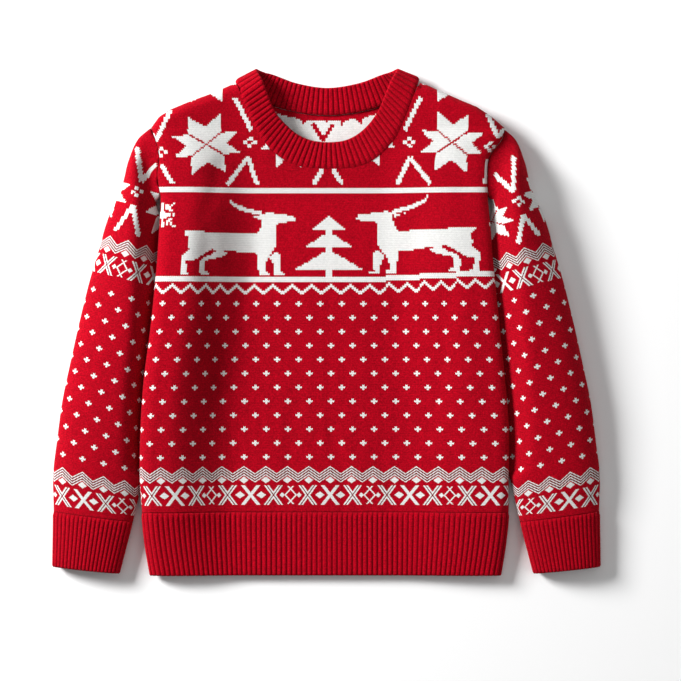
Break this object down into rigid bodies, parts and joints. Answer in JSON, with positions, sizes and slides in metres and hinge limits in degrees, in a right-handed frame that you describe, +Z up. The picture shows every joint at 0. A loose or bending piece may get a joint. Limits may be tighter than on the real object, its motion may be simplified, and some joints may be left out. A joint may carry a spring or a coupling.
{
  "type": "knitted sweater",
  "caption": "Child's knitted Christmas sweater with a round ribbed neck, laid flat face up with its sleeves tucked beside the body.",
  "frame": {"origin": "centre of the outline on the surface that the sweater lies on", "axes": "+X across the garment to the right sleeve in the view, +Y from hem to neck, +Z up from the surface"},
  "size_m": [0.5464, 0.505, 0.0379],
  "materials": {
    "jacquard_knit": "matte",
    "rib_knit": "matte"
  },
  "bodies": {
    "root": {"front_panel": "jacquard_knit", "back_panel": "jacquard_knit", "hem_rib_front": "rib_knit", "hem_rib_back": "rib_knit", "sleeve_left": "jacquard_knit", "cuff_left": "rib_knit", "sleeve_right": "jacquard_knit", "cuff_right": "rib_knit", "neckband": "rib_knit"}
  },
  "joints": []
}
